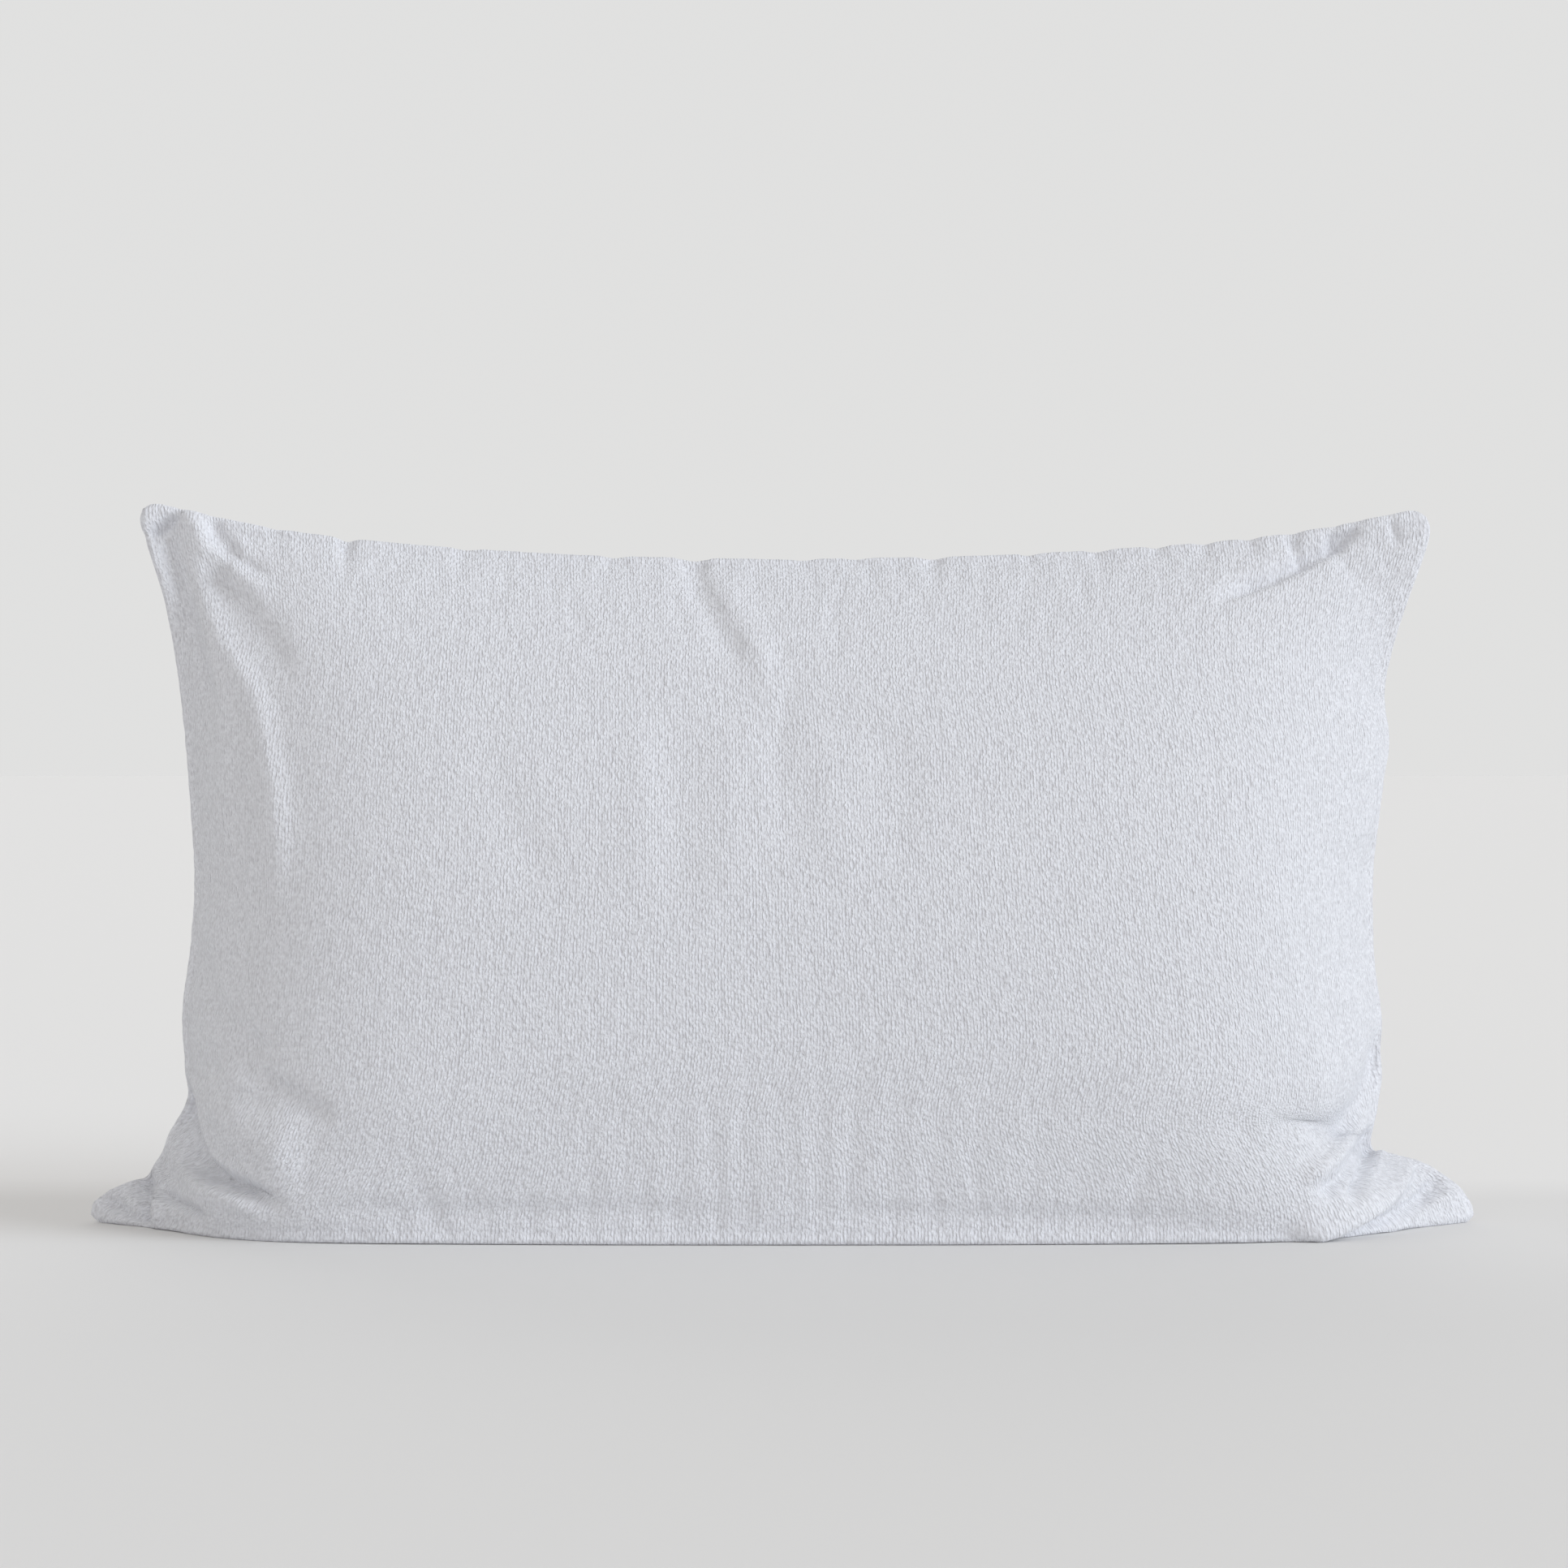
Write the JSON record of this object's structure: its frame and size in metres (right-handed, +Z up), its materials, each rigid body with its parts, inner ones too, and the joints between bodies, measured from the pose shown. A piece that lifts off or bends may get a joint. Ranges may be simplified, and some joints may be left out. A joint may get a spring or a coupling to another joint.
{
  "type": "bed pillow",
  "caption": "King-size bed pillow standing on its long edge: fibre-filled inner pillow in a white terry towelling case with flat ears at the corners and a zip across the back.",
  "frame": {"origin": "on the floor, under the middle of the pillow as it stands on its long bottom edge", "axes": "+X along the pillow's length, to the right as seen from the front; -Y out of the front panel; +Z up, from the bottom seam to the top seam"},
  "size_m": [0.894, 0.19, 0.464],
  "materials": {
    "terry": "matte",
    "seam_edge": "matte",
    "ticking": "matte",
    "filling": "matte",
    "label": "satin",
    "thread": "satin",
    "zip_tape": "matte",
    "zip_coil": "satin",
    "zip_metal": "satin"
  },
  "bodies": {
    "pillow": {"fibre_fill": "filling", "ticking_front": "ticking", "ticking_back": "ticking", "ticking_piping": "ticking", "ticking_care_label": "label", "case_front_panel": "terry", "case_back_panel_lower": "terry", "case_back_panel_upper": "terry", "case_bottom_seam": "seam_edge", "case_top_seam": "seam_edge", "case_right_seam": "seam_edge", "case_left_seam": "seam_edge", "case_care_label": "label", "zip_tape_upper": "zip_tape", "zip_tape_lower": "zip_tape", "zip_coil_upper": "zip_coil", "zip_coil_lower": "zip_coil", "zip_topstitch_upper": "thread", "zip_topstitch_lower": "thread", "zip_top_stop_upper": "zip_metal", "zip_top_stop_lower": "zip_metal", "zip_bottom_stop": "zip_metal"},
    "slider": {"zip_slider": "zip_metal"},
    "pull": {"zip_pull": "zip_metal"}
  },
  "joints": [
    {"name": "zip_slide", "type": "slide", "parent": "pillow", "child": "slider", "axis": [-1, 0, 0], "range_m": [0, 0.524]},
    {"name": "pull_swing", "type": "hinge", "parent": "slider", "child": "pull", "pos_m": [0.262, 0.06258, 0.36193], "axis": [0, -0.1564, 0.9877], "range_deg": [0, 180]}
  ]
}
